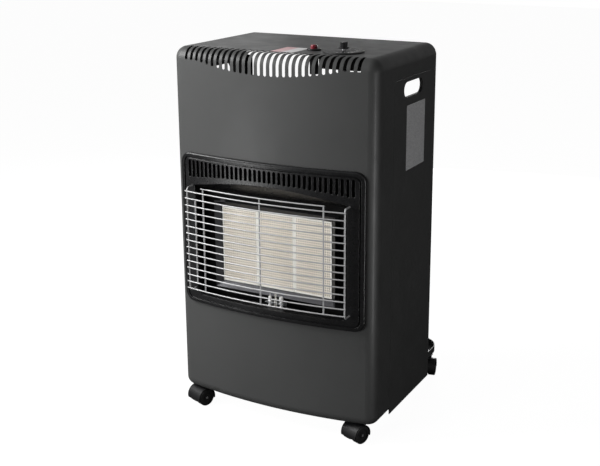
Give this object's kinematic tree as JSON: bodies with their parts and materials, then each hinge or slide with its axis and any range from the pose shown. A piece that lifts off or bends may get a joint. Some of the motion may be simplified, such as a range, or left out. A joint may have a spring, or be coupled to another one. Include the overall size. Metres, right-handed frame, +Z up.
{
  "type": "portable gas cabinet heater",
  "caption": "Upright steel cabinet heater on castors: bowed front with a guarded radiant burner, slotted top edge, push igniter and turn knob on top, open rear bay for a gas bottle.",
  "frame": {"origin": "on the floor, under the middle of the overall outline", "axes": "+X to the right seen from the front, -Y out of the burner front, +Z up"},
  "size_m": [0.42, 0.45, 0.7361],
  "materials": {
    "cabinet_paint": "fine-textured matt charcoal powder coat",
    "black_moulding": "satin black moulded heat-resistant bezel",
    "guard_chrome": "bright plated wire",
    "galvanised": "plain zinc-coated sheet",
    "aluminised": "aluminised pressed sheet",
    "recess_black": "matt black heat-resistant paint",
    "reflector_bright": "polished reflector sheet",
    "plaque_ceramic": "porous off-white ceramic",
    "white_ceramic": "glazed white insulator",
    "brass_fitting": "turned brass",
    "aluminium_cast": "die-cast valve body",
    "aluminium_tube": "soft drawn tube",
    "copper_lead": "capillary thermocouple lead",
    "lead_sleeve": "white high-tension sleeve",
    "zinc_hardware": "zinc-plated fasteners",
    "stainless_probe": "heat-tinted stainless steel",
    "control_black": "satin black control plastic",
    "button_red": "glossy red push button",
    "castor_plastic": "black moulded castor hood",
    "castor_tread": "hard black wheel"
  },
  "bodies": {
    "cabinet": {"base_tray": "cabinet_paint", "bezel": "black_moulding", "burner_head_left": "aluminised", "burner_head_middle": "aluminised", "burner_head_right": "aluminised", "burner_recess": "recess_black", "castor_nuts": "zinc_hardware", "castor_stems": "zinc_hardware", "ceramic_plaque_left": "plaque_ceramic", "ceramic_plaque_middle": "plaque_ceramic", "ceramic_plaque_right": "plaque_ceramic", "dial_plate": "control_black", "front_casing": "cabinet_paint", "gas_pipe_left": "aluminium_tube", "gas_pipe_middle": "aluminium_tube", "gas_pipe_right": "aluminium_tube", "gas_valve": "aluminium_cast", "hose_inlet": "brass_fitting", "igniter_body": "control_black", "igniter_nut": "control_black", "ignition_lead": "lead_sleeve", "injector_rail": "galvanised", "injectors": "brass_fitting", "partition_panel": "galvanised", "partition_screws": "zinc_hardware", "pilot_bracket": "galvanised", "pilot_burner": "white_ceramic", "pilot_tube": "aluminium_tube", "reflector_bottom": "reflector_bright", "reflector_left": "reflector_bright", "reflector_right": "reflector_bright", "reflector_top": "reflector_bright", "side_panel_left": "cabinet_paint", "side_panel_right": "cabinet_paint", "spark_electrode": "white_ceramic", "thermocouple": "stainless_probe", "thermocouple_lead": "copper_lead", "valve_bracket": "galvanised", "valve_nut": "zinc_hardware", "wire_guard": "guard_chrome"},
    "push_rod": {"valve_push_rod": "zinc_hardware"},
    "knob": {"valve_spindle": "zinc_hardware", "control_knob": "control_black"},
    "igniter_button": {"igniter_button": "button_red"},
    "castor_front_left": {"castor_hood_front_left": "castor_plastic", "castor_axle_front_left": "zinc_hardware"},
    "castor_wheel_front_left_left": {"castor_wheel_front_left_left": "castor_tread"},
    "castor_wheel_front_left_right": {"castor_wheel_front_left_right": "castor_tread"},
    "castor_front_right": {"castor_hood_front_right": "castor_plastic", "castor_axle_front_right": "zinc_hardware"},
    "castor_wheel_front_right_left": {"castor_wheel_front_right_left": "castor_tread"},
    "castor_wheel_front_right_right": {"castor_wheel_front_right_right": "castor_tread"},
    "castor_rear_left": {"castor_hood_rear_left": "castor_plastic", "castor_axle_rear_left": "zinc_hardware"},
    "castor_wheel_rear_left_left": {"castor_wheel_rear_left_left": "castor_tread"},
    "castor_wheel_rear_left_right": {"castor_wheel_rear_left_right": "castor_tread"},
    "castor_rear_right": {"castor_hood_rear_right": "castor_plastic", "castor_axle_rear_right": "zinc_hardware"},
    "castor_wheel_rear_right_left": {"castor_wheel_rear_right_left": "castor_tread"},
    "castor_wheel_rear_right_right": {"castor_wheel_rear_right_right": "castor_tread"}
  },
  "joints": [
    {"name": "knob_push", "type": "slide", "parent": "cabinet", "child": "push_rod", "axis": [0, 0, -1], "range_m": [0, 0.0035], "stiffness_N_per_m": 900, "springref_m": -0.003},
    {"name": "knob_turn", "type": "hinge", "parent": "push_rod", "child": "knob", "pos_m": [0.112, -0.10955, 0.72], "axis": [0, 0, 1], "range_deg": [0, 180]},
    {"name": "igniter_push", "type": "slide", "parent": "cabinet", "child": "igniter_button", "axis": [0, 0, -1], "range_m": [0, 0.005], "stiffness_N_per_m": 1500, "springref_m": -0.003},
    {"name": "castor_front_left_swivel", "type": "hinge", "parent": "cabinet", "child": "castor_front_left", "pos_m": [-0.172, -0.14855, 0.035], "axis": [0, 0, 1], "continuous": true},
    {"name": "castor_wheel_front_left_left_spin", "type": "hinge", "parent": "castor_front_left", "child": "castor_wheel_front_left_left", "pos_m": [-0.17738, -0.16255, 0.017], "axis": [0.9336, -0.3584, 0], "continuous": true},
    {"name": "castor_wheel_front_left_right_spin", "type": "hinge", "parent": "castor_front_left", "child": "castor_wheel_front_left_right", "pos_m": [-0.17738, -0.16255, 0.017], "axis": [0.9336, -0.3584, 0], "continuous": true},
    {"name": "castor_front_right_swivel", "type": "hinge", "parent": "cabinet", "child": "castor_front_right", "pos_m": [0.172, -0.14855, 0.035], "axis": [0, 0, 1], "continuous": true},
    {"name": "castor_wheel_front_right_left_spin", "type": "hinge", "parent": "castor_front_right", "child": "castor_wheel_front_right_left", "pos_m": [0.16662, -0.16255, 0.017], "axis": [0.9336, -0.3584, 0], "continuous": true},
    {"name": "castor_wheel_front_right_right_spin", "type": "hinge", "parent": "castor_front_right", "child": "castor_wheel_front_right_right", "pos_m": [0.16662, -0.16255, 0.017], "axis": [0.9336, -0.3584, 0], "continuous": true},
    {"name": "castor_rear_left_swivel", "type": "hinge", "parent": "cabinet", "child": "castor_rear_left", "pos_m": [-0.172, 0.185, 0.035], "axis": [0, 0, 1], "continuous": true},
    {"name": "castor_wheel_rear_left_left_spin", "type": "hinge", "parent": "castor_rear_left", "child": "castor_wheel_rear_left_left", "pos_m": [-0.16888, 0.17033, 0.017], "axis": [0.9781, 0.2079, 0], "continuous": true},
    {"name": "castor_wheel_rear_left_right_spin", "type": "hinge", "parent": "castor_rear_left", "child": "castor_wheel_rear_left_right", "pos_m": [-0.16888, 0.17033, 0.017], "axis": [0.9781, 0.2079, 0], "continuous": true},
    {"name": "castor_rear_right_swivel", "type": "hinge", "parent": "cabinet", "child": "castor_rear_right", "pos_m": [0.172, 0.185, 0.035], "axis": [0, 0, 1], "continuous": true},
    {"name": "castor_wheel_rear_right_left_spin", "type": "hinge", "parent": "castor_rear_right", "child": "castor_wheel_rear_right_left", "pos_m": [0.17512, 0.17033, 0.017], "axis": [0.9781, 0.2079, 0], "continuous": true},
    {"name": "castor_wheel_rear_right_right_spin", "type": "hinge", "parent": "castor_rear_right", "child": "castor_wheel_rear_right_right", "pos_m": [0.17512, 0.17033, 0.017], "axis": [0.9781, 0.2079, 0], "continuous": true}
  ]
}
